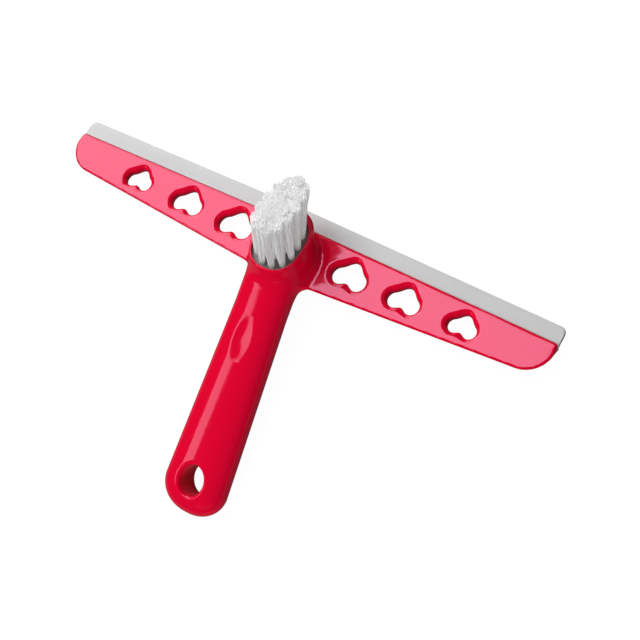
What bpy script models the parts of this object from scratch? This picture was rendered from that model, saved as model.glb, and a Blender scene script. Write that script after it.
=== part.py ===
"""A T-shaped glass squeegee with a tufted brush, in metres, resting on its back with +Z up.

Everything is drawn in the crossbar's own frame: X runs along the bar, Y points from the
handle to the wiper blade, Z comes out of the front face, where the brush is, and the origin
is the middle of the bar's blade edge. An empty then lays the whole tool down, so that the
blade's edge and the handle's end touch the ground.
"""

import math

import bmesh
import bpy
from mathutils import Matrix, Vector

# Crossbar: a flat moulding whose two wings droop a little towards the handle.
BAR_LENGTH = 0.2508
BAR_HEIGHT_MIDDLE = 0.0249
BAR_HEIGHT_TIP = 0.0150
BAR_THICKNESS = 0.0054
BAR_EDGE_RADIUS = 0.0013
BAR_CORNER_RADIUS = 0.0140
BAR_TOP_CORNER_RADIUS = 0.0015
WING_DROOP = math.radians(0.7)
ROOT_FILLET_RADIUS = 0.0062
ROOT_HALF_WIDTH = 0.0121
ROOT_DEPTH = 0.0370

# Heart cut-outs, from the one beside the brush to the one at the tip of a wing.
HEART_OFFSETS = (0.0308, 0.0575, 0.0857)
HEART_WIDTHS = (0.0168, 0.0149, 0.0126)
HEART_HEIGHT_SHARE = 0.80
HEART_TIP_INSET = 0.0030
HEART_RIM_RADIUS = 0.0013
HEART_POINTS = 32

# Wiper blade: a rubber strip with a tongue in a groove of the bar's edge.
BLADE_REACH = 0.0075
BLADE_THICKNESS = 0.0020
BLADE_EDGE_THICKNESS = 0.0012
BLADE_BEVEL_HEIGHT = 0.0019
BLADE_EDGE_CHAMFER = 0.0002
BLADE_TONGUE = 0.0014
BLADE_END_INSET = 0.0003

# Handle: an oval bar that leaves the crossbar bent back from its plane.
HANDLE_BEND = math.radians(21.9)
HANDLE_AXIS_Y = -0.0400
HANDLE_AXIS_Z = -0.0050
HANDLE_LENGTH = 0.0961
HANDLE_END_RUN = 0.0131
HANDLE_WIDTH_NECK = 0.0252
HANDLE_WIDTH_END = 0.0316
HANDLE_THICKNESS = 0.0148
HANDLE_END_THICKNESS = 0.0152
HANDLE_ROUND_POWER = 2.3
HANDLE_RING_POINTS = 36
HANDLE_END_STEPS = 7
HANDLE_END_FIRST_STEP = 0.35
HANDLE_END_THICKNESS_POWER = 0.7
HANDLE_BAR_STEPS = 6

HANDLE_WIDEST_AT = HANDLE_LENGTH - HANDLE_END_RUN

# Hub: where the handle spreads over the bar, under the brush cup.
HUB_HALF_WIDTH = 0.0190
HUB_TOP = 0.0094
HUB_BOTTOM = -0.0049
HUB_SKIRT_Z = -0.0012
HUB_START_Y = -0.0362
HUB_SPREAD_Y = -0.0300
HUB_FULL_Y = -0.0195
HUB_FALL_Y = -0.0120
HUB_END_Y = -0.0022
HUB_END_Z = -0.0004
HUB_STEPS = 14

# Hanging hole and thumb dimple, placed along the handle's axis.
HOLE_FROM_END = 0.0158
HOLE_WIDTH = 0.0121
HOLE_LENGTH = 0.0142
HOLE_RIM_RADIUS = 0.0016
HOLE_BACK_RIM_RADIUS = 0.0006
HOLE_CROWN_DROP = 0.0007
HOLE_POINTS = 32
DIMPLE_AT = 0.0137
DIMPLE_LENGTH = 0.0200
DIMPLE_WIDTH = 0.0070
DIMPLE_DEPTH = 0.0012
DIMPLE_SINK = 0.0002
DIMPLE_STEPS = 10
DIMPLE_POINTS = 28

# Brush cup: an oval socket that leans towards the blade. Its rim is nearly level with the bar.
CUP_RIM_Y = -0.0132
CUP_RIM_Z = 0.0127
CUP_RIM_TILT = math.radians(1)
CUP_LEAN = math.radians(33)
CUP_HALF_WIDTH = 0.0113
CUP_HALF_LENGTH = 0.0146
CUP_WALL = 0.0012
CUP_LIP_RADIUS = 0.0005
CUP_HEIGHT = 0.0160
CUP_BASE_FLARE = 0.0024
CUP_FLARE_STEPS = 4
CUP_POWER = 2.4
CUP_POINTS = 44
POCKET_DEPTH = 0.0090

# Brush block: the insert that carries the tufts, pressed into the cup.
BLOCK_RECESS = 0.0020
BLOCK_THICKNESS = 0.0058
FIT_GAP = 0.0003

# Tufts: bunches of nylon bristles in two oval rings and a middle one, each folded round a flat
# anchor.
OUTER_RING_TUFTS = 13
OUTER_RING_HALF_WIDTH = 0.0087
OUTER_RING_HALF_LENGTH = 0.0118
INNER_RING_TUFTS = 8
INNER_RING_HALF_WIDTH = 0.0043
INNER_RING_HALF_LENGTH = 0.0072
RING_START_SHARE = 0.5
RING_POINTS = 120
TUFT_RADIUS = 0.00165
TUFT_GAP = 0.0002
TUFT_DEPTH = 0.0046
TUFT_SIDES = 10
BRISTLES_PER_TUFT = 16
BRISTLE_SIDES = 3
BRISTLE_RADIUS = 0.00027
BRISTLE_TIP_RADIUS = 0.00023
BRISTLE_SINK = 0.0004
BRISTLE_SPREAD_SHARE = 0.80
BRISTLE_LENGTH = 0.0211
BRUSH_TRIM_TILT = math.radians(16)
BRUSH_FLARE_ACROSS_SHARE = 0.82
BRUSH_FLARE_ALONG_SHARE = 1.32
TUFT_FLARE_SHARE = 1.16
ANCHOR_LENGTH = 0.0028
ANCHOR_HEIGHT = 0.0014
ANCHOR_THICKNESS = 0.0004
ANCHOR_LIFT = 0.0010

# Cutters run past the surfaces that they open by this much.
OVERRUN = 0.0020
ARC_STEPS = 2
FILLET_STEP = math.radians(13)
SHARP_ANGLE = math.radians(35)
GOLDEN_ANGLE = math.pi * (3 - math.sqrt(5))

TOOL_NAME = "glass_squeegee"


def clear_scene():
    for thing in list(bpy.data.objects):
        bpy.data.objects.remove(thing, do_unlink=True)


def new_collection(name, rendered=True):
    group = bpy.data.collections.new(name)
    bpy.context.scene.collection.children.link(group)
    group.hide_render = not rendered
    return group


def new_material(name, colour, roughness, metallic=0.0):
    made = bpy.data.materials.new(name)
    made.use_nodes = True
    shader = made.node_tree.nodes["Principled BSDF"]
    shader.inputs["Base Color"].default_value = (*colour, 1.0)
    shader.inputs["Roughness"].default_value = roughness
    shader.inputs["Metallic"].default_value = metallic
    made.diffuse_color = (*colour, 1.0)
    return made


def place(name, mesh, parent, group, finish=None):
    """Puts a mesh into a collection under the tool's empty, smooth where it is round."""
    made = bpy.data.objects.new(name, mesh)
    group.objects.link(made)
    made.parent = parent
    if finish:
        mesh.materials.append(finish)
    mesh.shade_smooth()
    mesh.set_sharp_from_angle(angle=SHARP_ANGLE)
    return made


def place_cutter(name, mesh, parent, group):
    made = place(name, mesh, parent, group)
    made.hide_render = True
    made.display_type = "WIRE"
    return made


def combine(target, other, operation):
    step = target.modifiers.new(f"{operation.lower()}_{other.name}", "BOOLEAN")
    step.object = other
    step.operation = operation
    step.solver = "EXACT"


def mesh_of(name, form):
    """The bmesh as mesh data, its faces turned out."""
    bmesh.ops.recalc_face_normals(form, faces=form.faces)
    if form.calc_volume(signed=True) < 0:
        bmesh.ops.reverse_faces(form, faces=form.faces)
    made = bpy.data.meshes.new(name)
    form.to_mesh(made)
    form.free()
    return made


def loft(name, rings):
    """Skins a row of rings that have the same number of points, and caps both ends."""
    form = bmesh.new()
    rows = [[form.verts.new(point) for point in ring] for ring in rings]
    for lower, upper in zip(rows, rows[1:]):
        for i in range(len(lower)):
            j = (i + 1) % len(lower)
            form.faces.new((lower[i], lower[j], upper[j], upper[i]))
    form.faces.new(rows[0])
    form.faces.new(rows[-1])
    return mesh_of(name, form)


def stack(name, outline, levels, spot):
    """A loft of one outline along a direction. Each level is (distance, growth of the outline),
    and spot(x, y, distance) gives the point in the crossbar's frame."""
    return loft(name, [[spot(x, y, t) for x, y in outline(grow)] for t, grow in levels])


def ellipse(half_x, half_y, points, power=2.0):
    """Outline function of a superellipse that grows by the same length in both half axes."""

    def outline(grow):
        ring = []
        for i in range(points):
            angle = 2 * math.pi * i / points
            x = math.copysign(abs(math.cos(angle)) ** (2 / power), math.cos(angle))
            y = math.copysign(abs(math.sin(angle)) ** (2 / power), math.sin(angle))
            ring.append(((half_x + grow) * x, (half_y + grow) * y))
        return ring

    return outline


def heart(width, height):
    """Outline function of a heart with its tip at +Y, centred on the middle of its height."""
    raw = []
    for i in range(HEART_POINTS):
        t = 2 * math.pi * i / HEART_POINTS
        lobes = 13 * math.cos(t) - 5 * math.cos(2 * t) - 2 * math.cos(3 * t) - math.cos(4 * t)
        raw.append((math.sin(t) ** 3, -lobes))
    low = min(y for _, y in raw)
    high = max(y for _, y in raw)

    def outline(grow):
        half_width = width / 2 + grow
        half_height = height / 2 + grow
        return [(half_width * x, half_height * (2 * (y - low) / (high - low) - 1)) for x, y in raw]

    return outline


def rounded_mouth(surface, radius, direction):
    """Levels that open a hole with a round lip where it leaves a surface, seen from the hole's
    middle outwards along one direction (+1 or -1)."""
    levels = []
    for k in range(ARC_STEPS + 1):
        angle = math.pi / 2 * (1 - k / ARC_STEPS)
        depth = radius * (1 - math.cos(angle))
        levels.append((direction * (surface - depth), radius * (1 - math.sin(angle))))
    levels.append((direction * (surface + OVERRUN), radius))
    return levels


def fillet(corner, before, after, radius):
    """Points of the arc that rounds one corner of an outline."""
    if radius == 0:
        return [tuple(corner)]
    to_before = (before - corner).normalized()
    to_after = (after - corner).normalized()
    half = to_before.angle(to_after) / 2
    centre = corner + (to_before + to_after).normalized() * radius / math.sin(half)
    start = corner + to_before * radius / math.tan(half) - centre
    stop = corner + to_after * radius / math.tan(half) - centre
    turn = start.angle_signed(stop)
    steps = max(2, round(abs(turn) / FILLET_STEP))
    arc = []
    for k in range(steps + 1):
        arc.append(tuple(centre + Matrix.Rotation(-turn * k / steps, 2) @ start))
    return arc


def bar_outline(grow):
    """The bar's face, with its wings, rounded ends and the root that runs into the handle. Its
    sides move out by grow, and the rounded corners keep their centres."""
    half = BAR_LENGTH / 2
    drop = half * math.tan(WING_DROOP)
    rise = (BAR_HEIGHT_MIDDLE - BAR_HEIGHT_TIP - drop) * ROOT_HALF_WIDTH / half
    right = [
        (half, -drop, BAR_TOP_CORNER_RADIUS),
        (half, -drop - BAR_HEIGHT_TIP, BAR_CORNER_RADIUS),
        (ROOT_HALF_WIDTH, -BAR_HEIGHT_MIDDLE + rise, -ROOT_FILLET_RADIUS),
        (ROOT_HALF_WIDTH, -ROOT_DEPTH, 0),
    ]
    left = [(-x, y, radius) for x, y, radius in reversed(right)]
    corners = [(0, 0, 0)] + right + left
    spots = [Vector((x, y)) for x, y, _ in corners]
    moved = []
    for i, spot in enumerate(spots):
        into = (spot - spots[i - 1]).normalized()
        away = (spots[(i + 1) % len(spots)] - spot).normalized()
        outwards = Vector((-into.y - away.y, into.x + away.x))
        moved.append(spot + outwards * grow / (1 + into.dot(away)))
    points = []
    for i, (_, _, radius) in enumerate(corners):
        now = abs(radius + grow) if radius else 0
        points += fillet(moved[i], moved[i - 1], moved[(i + 1) % len(moved)], now)
    return points


def bar_mesh():
    """The bar's outline carried through its thickness, with round edges."""

    def spot(x, y, out):
        return Vector((x, y, out))

    levels = []
    for k in range(ARC_STEPS + 1):
        angle = math.pi / 2 * k / ARC_STEPS
        inset = BAR_EDGE_RADIUS * (1 - math.sin(angle))
        levels.append((-BAR_EDGE_RADIUS * (1 - math.cos(angle)), -inset))
    back = [(-BAR_THICKNESS - out, grow) for out, grow in levels]
    return stack("bar", bar_outline, back + list(reversed(levels)), spot)


def smooth_step(low, high, value):
    share = min(1.0, max(0.0, (value - low) / (high - low)))
    return share * share * (3 - 2 * share)


def mix(first, second, share):
    return first + (second - first) * share


def handle_spot(x, along, out):
    """A point by its place across the handle, along its axis from the neck, and out of its
    middle plane towards the front."""
    y = HANDLE_AXIS_Y - along * math.cos(HANDLE_BEND) - out * math.sin(HANDLE_BEND)
    z = HANDLE_AXIS_Z - along * math.sin(HANDLE_BEND) + out * math.cos(HANDLE_BEND)
    return Vector((x, y, z))


def handle_half_width(along):
    share = min(1.0, along / HANDLE_WIDEST_AT)
    return mix(HANDLE_WIDTH_NECK, HANDLE_WIDTH_END, share) / 2


def handle_rings():
    """Oval sections square to the handle's axis, from its round end to the neck."""
    rings = []
    end_run = HANDLE_LENGTH - HANDLE_WIDEST_AT
    stations = []
    for k in range(HANDLE_END_STEPS):
        angle = math.pi / 2 * (k + HANDLE_END_FIRST_STEP) / HANDLE_END_STEPS
        stations.append((HANDLE_WIDEST_AT + end_run * math.cos(angle), math.sin(angle)))
    for k in range(HANDLE_BAR_STEPS + 1):
        stations.append((HANDLE_WIDEST_AT * (1 - k / HANDLE_BAR_STEPS), 1.0))
    for along, roundness in stations:
        thick = mix(HANDLE_THICKNESS, HANDLE_END_THICKNESS, min(1.0, along / HANDLE_WIDEST_AT))
        oval = ellipse(
            handle_half_width(along) * roundness ** (2 / HANDLE_ROUND_POWER),
            thick / 2 * roundness ** HANDLE_END_THICKNESS_POWER,
            HANDLE_RING_POINTS,
            HANDLE_ROUND_POWER,
        )
        rings.append([handle_spot(x, along, out) for x, out in oval(0)])
    return rings


def hub_rings():
    """Upright sections from the neck to the bar's blade edge. An oval turns into a bell whose
    foot runs flat into the bar, and whose crown sinks again past the middle of the cup."""
    rings = []
    slope = math.tan(HANDLE_BEND)
    half_thick = HANDLE_THICKNESS / 2 / math.cos(HANDLE_BEND)
    for k in range(HUB_STEPS + 1):
        y = mix(HUB_START_Y, HUB_END_Y, k / HUB_STEPS)
        axis_z = HANDLE_AXIS_Z + (y - HANDLE_AXIS_Y) * slope
        bell = smooth_step(HUB_SPREAD_Y, HUB_FULL_Y, y)
        fall = smooth_step(HUB_FALL_Y, HUB_END_Y, y)
        top = mix(min(axis_z + half_thick, HUB_TOP), HUB_END_Z, fall)
        bottom = min(axis_z - half_thick, HUB_BOTTOM)
        middle = (top + bottom) / 2
        wide = HANDLE_WIDTH_NECK / 2
        ring = []
        oval = ellipse(1, 1, HANDLE_RING_POINTS, HANDLE_ROUND_POWER)
        for i, (x, out) in enumerate(oval(0)):
            angle = 2 * math.pi * i / HANDLE_RING_POINTS
            foot = math.cos(angle)
            rise = 1 - smooth_step(0, 1, abs(foot))
            if out >= 0:
                bell_z = mix(HUB_SKIRT_Z, top, rise)
            else:
                bell_z = mix(HUB_SKIRT_Z, bottom, -math.sin(angle))
            oval_z = middle + (top - bottom) / 2 * out
            across = mix(wide * x, HUB_HALF_WIDTH * foot, bell)
            ring.append(Vector((across, y, mix(oval_z, bell_z, bell))))
        rings.append(ring)
    return rings


def cup_spot(x, y, along):
    """A point by its place in the cup's rim plane and its distance along the lean of the cup,
    which is positive out of the cup."""
    rim_y = CUP_RIM_Y + y * math.cos(CUP_RIM_TILT) + along * math.sin(CUP_LEAN)
    rim_z = CUP_RIM_Z - y * math.sin(CUP_RIM_TILT) + along * math.cos(CUP_LEAN)
    return Vector((x, rim_y, rim_z))


def cup_mesh():
    """The cup's outside, an oval tube with a round lip and a base that flares."""
    outer = ellipse(CUP_HALF_WIDTH + CUP_WALL, CUP_HALF_LENGTH + CUP_WALL, CUP_POINTS, CUP_POWER)
    levels = []
    for k in range(CUP_FLARE_STEPS):
        share = 1 - k / CUP_FLARE_STEPS
        levels.append((-CUP_HEIGHT * share, CUP_BASE_FLARE * share * share))
    for k in range(ARC_STEPS + 1):
        angle = math.pi / 2 * k / ARC_STEPS
        levels.append((
            -CUP_LIP_RADIUS * (1 - math.sin(angle)),
            -CUP_LIP_RADIUS * (1 - math.cos(angle)),
        ))
    return stack("cup", outer, levels, cup_spot)


def pocket_mesh():
    inner = ellipse(CUP_HALF_WIDTH, CUP_HALF_LENGTH, CUP_POINTS, CUP_POWER)
    levels = [(-POCKET_DEPTH, 0)] + rounded_mouth(0, CUP_LIP_RADIUS, 1)
    return stack("pocket", inner, levels, cup_spot)


def heart_mesh(side, index):
    """Cutter of one heart, with the bar's round lips on both faces."""
    width = HEART_WIDTHS[index]
    height = width * HEART_HEIGHT_SHARE
    offset = HEART_OFFSETS[index]
    middle_y = -offset * math.tan(WING_DROOP) - HEART_TIP_INSET - height / 2
    half = BAR_THICKNESS / 2

    def spot(x, y, out):
        turned = Matrix.Rotation(-side * WING_DROOP, 2) @ Vector((x, y))
        return Vector((side * offset + turned.x, middle_y + turned.y, out - half))

    front = rounded_mouth(half, HEART_RIM_RADIUS, 1)
    back = rounded_mouth(half, HEART_RIM_RADIUS, -1)
    return stack("heart", heart(width, height), list(reversed(back)) + front, spot)


def hole_mesh():
    """Cutter of the hanging hole, square to the handle and with round lips."""
    half = HANDLE_END_THICKNESS / 2 - HOLE_CROWN_DROP
    outline = ellipse(HOLE_WIDTH / 2, HOLE_LENGTH / 2, HOLE_POINTS)
    front = rounded_mouth(half, HOLE_RIM_RADIUS, 1)
    back = rounded_mouth(half, HOLE_BACK_RIM_RADIUS, -1)

    def spot(x, y, out):
        return handle_spot(x, HANDLE_LENGTH - HOLE_FROM_END + y, out)

    return stack("hole", outline, list(reversed(back)) + front, spot)


def dimple_mesh():
    """A slim spindle that leaves an almond-shaped hollow for the thumb in the handle's front."""
    radius = (DIMPLE_WIDTH ** 2 / 4 + DIMPLE_DEPTH ** 2) / (2 * DIMPLE_DEPTH)
    lift = radius - DIMPLE_DEPTH
    surface = HANDLE_THICKNESS / 2 - DIMPLE_SINK
    rings = []
    for k in range(DIMPLE_STEPS + 1):
        share = 2 * k / DIMPLE_STEPS - 1
        along = DIMPLE_AT + share * DIMPLE_LENGTH / 2
        size = lift + DIMPLE_DEPTH * (1 - share * share)
        ring = ellipse(size, size, DIMPLE_POINTS)(0)
        rings.append([handle_spot(x, along, surface + lift + out) for x, out in ring])
    return loft("dimple", rings)


def blade_profile(gap=0.0):
    """Half outline of the strip in (Y, thickness / 2), from its wiping edge to its tongue. A
    gap makes it the groove's outline instead."""
    if gap:
        return [
            (OVERRUN, BLADE_THICKNESS / 2 + gap),
            (-BLADE_TONGUE - gap, BLADE_THICKNESS / 2 + gap),
        ]
    return [
        (BLADE_REACH, BLADE_EDGE_THICKNESS / 2 - BLADE_EDGE_CHAMFER),
        (BLADE_REACH - BLADE_EDGE_CHAMFER, BLADE_EDGE_THICKNESS / 2),
        (BLADE_REACH - BLADE_BEVEL_HEIGHT, BLADE_THICKNESS / 2),
        (-BLADE_TONGUE, BLADE_THICKNESS / 2),
    ]


def strip(name, profile, half_length):
    """The profile run along both drooping wings, mitred in the middle."""
    middle_z = -BAR_THICKNESS / 2
    ring = [(y, middle_z + half) for y, half in profile]
    ring += [(y, middle_z - half) for y, half in reversed(profile)]
    rings = []
    for x in (-half_length, 0, half_length):
        drop = abs(x) * math.tan(WING_DROOP)
        rings.append([Vector((x, y - drop, z)) for y, z in ring])
    return loft(name, rings)


def block_mesh():
    oval = ellipse(CUP_HALF_WIDTH - FIT_GAP, CUP_HALF_LENGTH - FIT_GAP, CUP_POINTS, CUP_POWER)
    levels = [(-BLOCK_RECESS - BLOCK_THICKNESS, 0), (-BLOCK_RECESS, 0)]
    return stack("brush_block", oval, levels, cup_spot)


def even_spots(ring, count):
    """Spots at equal distances along a closed ring, of which two straddle its first point."""
    sides = list(zip(ring, ring[1:] + ring[:1]))
    lengths = [math.dist(start, stop) for start, stop in sides]
    pitch = sum(lengths) / count
    spots = []
    passed = 0
    for (start, stop), length in zip(sides, lengths):
        while len(spots) < count and (len(spots) + RING_START_SHARE) * pitch <= passed + length:
            share = ((len(spots) + RING_START_SHARE) * pitch - passed) / length
            spots.append((mix(start[0], stop[0], share), mix(start[1], stop[1], share)))
        passed += length
    return spots


def tuft_spots():
    """Places of the tufts in the rim plane: two oval rings, each from the handle's side on, and
    the middle."""
    spots = []
    for count, half_x, half_y in (
        (OUTER_RING_TUFTS, OUTER_RING_HALF_WIDTH, OUTER_RING_HALF_LENGTH),
        (INNER_RING_TUFTS, INNER_RING_HALF_WIDTH, INNER_RING_HALF_LENGTH),
    ):
        oval = ellipse(half_y, half_x, RING_POINTS, CUP_POWER)
        spots += even_spots([(across, -along) for along, across in oval(0)], count)
    spots.append((0, 0))
    return spots


def round_peg(name, x, y, radius, bottom, top):
    """A round peg along the cup's lean, centred at x, y of the rim plane."""
    circle = ellipse(radius, radius, TUFT_SIDES)

    def spot(px, py, along):
        return cup_spot(x + px, y + py, along)

    return stack(name, circle, [(bottom, 0), (top, 0)], spot)


def trim_height(y):
    """How far along the lean the bristles end at a place y of the rim plane: they are trimmed
    to a plane that falls towards the blade."""
    plane = Vector((0, math.sin(BRUSH_TRIM_TILT), math.cos(BRUSH_TRIM_TILT)))
    along = Vector((0, math.sin(CUP_LEAN), math.cos(CUP_LEAN)))
    in_rim = Vector((0, math.cos(CUP_RIM_TILT), -math.sin(CUP_RIM_TILT)))
    middle = BRISTLE_LENGTH - BLOCK_RECESS
    return middle - y * plane.dot(in_rim) / plane.dot(along)


def bristle_mesh(x, y):
    """The bristles of one tuft, each a slim prism whose lean grows with its distance from the
    middle of the brush."""
    form = bmesh.new()
    root = -BLOCK_RECESS - BRISTLE_SINK
    for k in range(BRISTLES_PER_TUFT):
        reach = TUFT_RADIUS * BRISTLE_SPREAD_SHARE * math.sqrt((k + 0.5) / BRISTLES_PER_TUFT)
        at_x = reach * math.cos(k * GOLDEN_ANGLE)
        at_y = reach * math.sin(k * GOLDEN_ANGLE)
        tip_x = x * BRUSH_FLARE_ACROSS_SHARE + at_x * TUFT_FLARE_SHARE
        tip_y = y * BRUSH_FLARE_ALONG_SHARE + at_y * TUFT_FLARE_SHARE
        rings = []
        for mid_x, mid_y, along, radius in (
            (x + at_x, y + at_y, root, BRISTLE_RADIUS),
            (tip_x, tip_y, trim_height(tip_y), BRISTLE_TIP_RADIUS),
        ):
            ring = ellipse(radius, radius, BRISTLE_SIDES)(0)
            rings.append([form.verts.new(cup_spot(mid_x + px, mid_y + py, along)) for px, py in ring])
        lower, upper = rings
        for i in range(BRISTLE_SIDES):
            j = (i + 1) % BRISTLE_SIDES
            form.faces.new((lower[i], lower[j], upper[j], upper[i]))
        form.faces.new(lower)
        form.faces.new(upper)
    return mesh_of("bristles", form)


def anchor_mesh(x, y, grow=0.0):
    """The flat anchor across a tuft's fold. grow makes it the window that the anchor fills."""
    floor = -BLOCK_RECESS - TUFT_DEPTH + ANCHOR_LIFT
    half_x = (ANCHOR_LENGTH + OVERRUN) / 2 if grow else ANCHOR_LENGTH / 2
    half_y = ANCHOR_THICKNESS / 2 + grow
    corners = ((-half_x, -half_y), (half_x, -half_y), (half_x, half_y), (-half_x, half_y))
    rings = []
    for along in (floor - grow, floor + ANCHOR_HEIGHT + grow):
        rings.append([cup_spot(x + px, y + py, along) for px, py in corners])
    return loft("anchor", rings)


def build_body(frame, parts, cutters, finish):
    body = place("handle_and_crossbar", bar_mesh(), frame, parts, finish)
    handle = loft("handle", handle_rings() + hub_rings())
    for name, mesh in (("handle", handle), ("cup", cup_mesh())):
        combine(body, place_cutter(name, mesh, frame, cutters), "UNION")
    groove = strip("groove", blade_profile(FIT_GAP), BAR_LENGTH / 2 + OVERRUN)
    cuts = [
        ("pocket", pocket_mesh()),
        ("hanging_hole", hole_mesh()),
        ("thumb_dimple", dimple_mesh()),
        ("blade_groove", groove),
    ]
    for side, title in ((-1, "left"), (1, "right")):
        for index in range(len(HEART_OFFSETS)):
            cuts.append((f"heart_{title}_{index + 1}", heart_mesh(side, index)))
    for name, mesh in cuts:
        combine(body, place_cutter(name, mesh, frame, cutters), "DIFFERENCE")


def build_brush(frame, parts, cutters, block_finish, nylon, steel):
    block = place("brush_block", block_mesh(), frame, parts, block_finish)
    floor = -BLOCK_RECESS - TUFT_DEPTH
    for number, (x, y) in enumerate(tuft_spots(), 1):
        hole = round_peg("socket", x, y, TUFT_RADIUS + TUFT_GAP, floor - TUFT_GAP, OVERRUN)
        combine(block, place_cutter(f"tuft_socket_{number:02d}", hole, frame, cutters), "DIFFERENCE")
        fold = round_peg("tuft", x, y, TUFT_RADIUS, floor, -BLOCK_RECESS)
        tuft = place(f"bristle_tuft_{number:02d}", fold, frame, parts, nylon)
        bristles = place_cutter(f"bristles_{number:02d}", bristle_mesh(x, y), frame, cutters)
        combine(tuft, bristles, "UNION")
        window = place_cutter(f"window_{number:02d}", anchor_mesh(x, y, TUFT_GAP), frame, cutters)
        combine(tuft, window, "DIFFERENCE")
        place(f"tuft_anchor_{number:02d}", anchor_mesh(x, y), frame, parts, steel)


def lay_down(frame, parts):
    """Turns and lifts the empty so that the tool rests on the blade's edge and the handle's end,
    with the middle of its box over the origin."""
    graph = bpy.context.evaluated_depsgraph_get()
    spots = []
    for piece in parts.objects:
        if piece.type != "MESH":
            continue
        shape = piece.evaluated_get(graph).to_mesh()
        spots += [vertex.co.copy() for vertex in shape.vertices]
    edge = Vector((0, BLADE_REACH, -(BAR_THICKNESS + BLADE_EDGE_THICKNESS) / 2))
    handle_side = [spot for spot in spots if spot.y < -ROOT_DEPTH]
    slope = max((edge.z - spot.z) / (edge.y - spot.y) for spot in handle_side)
    turn = Matrix.Rotation(-math.atan(slope), 4, "X")
    laid = [turn @ spot for spot in spots]
    middle_y = (min(spot.y for spot in laid) + max(spot.y for spot in laid)) / 2
    low_z = min(spot.z for spot in laid)
    frame.matrix_world = Matrix.Translation((0, -middle_y, -low_z)) @ turn
    return math.atan(slope)


def main():
    clear_scene()
    parts = new_collection(TOOL_NAME)
    cutters = new_collection("cutters", rendered=False)
    frame = bpy.data.objects.new("crossbar_frame", None)
    parts.objects.link(frame)
    red = new_material("red_plastic", (0.672, 0.003, 0.028), 0.18)
    grey = new_material("grey_rubber", (0.64, 0.64, 0.64), 0.5)
    white = new_material("white_plastic", (0.75, 0.75, 0.74), 0.4)
    nylon = new_material("white_nylon", (0.84, 0.84, 0.84), 0.35)
    steel = new_material("anchor_steel", (0.6, 0.58, 0.5), 0.35, 1.0)
    build_body(frame, parts, cutters, red)
    blade_mesh = strip("wiper_blade", blade_profile(), BAR_LENGTH / 2 - BLADE_END_INSET)
    place("wiper_blade", blade_mesh, frame, parts, grey)
    build_brush(frame, parts, cutters, white, nylon, steel)
    turn = lay_down(frame, parts)
    bpy.context.view_layer.update()
    behind = Vector((sum(HEART_OFFSETS[:2]) / 2, -BAR_HEIGHT_MIDDLE / 2, -BAR_THICKNESS))
    hole = frame.matrix_world @ handle_spot(0, HANDLE_LENGTH - HOLE_FROM_END, 0)
    print("rest turn in degrees", round(math.degrees(turn), 3))
    for title, place_of in (
        ("crossbar frame origin", frame.matrix_world.translation),
        ("back face point", frame.matrix_world @ behind),
        ("back face normal", frame.matrix_world.to_3x3() @ Vector((0, 0, -1))),
        ("hanging hole middle", hole),
    ):
        print(title, [round(value, 6) for value in place_of])


main()
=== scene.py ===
"""Looks of the T-shaped glass squeegee: a glossy red moulding, a grey rubber blade and a brush of
fine nylon filaments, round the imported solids.

Shapes are worked out in millimetres in the crossbar's own frame: X along the bar, Y from the
handle to the blade, Z out of the front face, origin in the middle of the bar's blade edge.
"""

import math

import bmesh
import bpy
import numpy as np
from mathutils import Matrix, Vector


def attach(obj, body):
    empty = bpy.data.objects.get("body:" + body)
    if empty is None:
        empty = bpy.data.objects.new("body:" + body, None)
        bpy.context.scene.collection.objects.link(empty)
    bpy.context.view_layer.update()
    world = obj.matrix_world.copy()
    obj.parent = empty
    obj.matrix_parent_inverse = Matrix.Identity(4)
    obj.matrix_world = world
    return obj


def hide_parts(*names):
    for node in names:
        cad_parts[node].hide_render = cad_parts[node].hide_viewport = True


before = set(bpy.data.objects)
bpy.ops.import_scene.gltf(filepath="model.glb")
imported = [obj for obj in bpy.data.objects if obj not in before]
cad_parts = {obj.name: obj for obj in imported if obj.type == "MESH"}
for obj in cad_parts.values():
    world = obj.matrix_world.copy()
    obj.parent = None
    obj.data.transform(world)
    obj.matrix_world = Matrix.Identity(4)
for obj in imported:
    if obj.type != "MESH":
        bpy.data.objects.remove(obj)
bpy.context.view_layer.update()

MM = 0.001
ARC_STEP = math.radians(5)
SHARP_ANGLE = math.radians(50)

# Least values, which guard against a division by nothing
SHORTEST_SIDE = 1e-6
LEAST_TOTAL = 1e-6
LEAST_SLOPE = 1e-4

# How the crossbar's frame lies in the scene: the tool rests on its blade and its handle's end.
REST_TURN = math.radians(-18.037)
REST_ORIGIN = (0.0, 0.058366, 0.00546)
TO_SCENE = Matrix.Translation(REST_ORIGIN) @ Matrix.Rotation(REST_TURN, 4, "X")

# Crossbar
BAR_LENGTH = 250.8
BAR_HEIGHT_MIDDLE = 24.9
BAR_HEIGHT_TIP = 15.0
BAR_THICKNESS = 5.4
BAR_EDGE_RADIUS = 1.2
BAR_BACK_TAPER = 0.42
BAR_FRONT_GROWTH = 0.9
BAR_TAPER_REACH = 6.0
BAR_CROWN = 0.25
BAR_CROWN_REACH = 9.0
BAR_CORNER_RADIUS = 12.5
BAR_TOP_CORNER_RADIUS = 1.5
WING_SLOPE = math.tan(math.radians(0.7))
GROOVE_HALF_WIDTH = 1.15
GROOVE_DEPTH = 1.7
GROOVE_RIM_BLEND = 0.3

# Hearts, from the brush to a wing's tip
HEART_OFFSETS = (30.3, 57.5, 85.8)
HEART_WIDTHS = (16.6, 15.2, 13.2)
HEART_HEIGHT_SHARE = 0.64
HEART_LOBE_SHARE = 0.235
HEART_TIP_SHARE = 0.13
HEART_NOTCH_SHARE = 0.25
HEART_INSET = 5.4
HEART_RIM_BLEND = 2.8
HEART_FAR = 50.0

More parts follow.
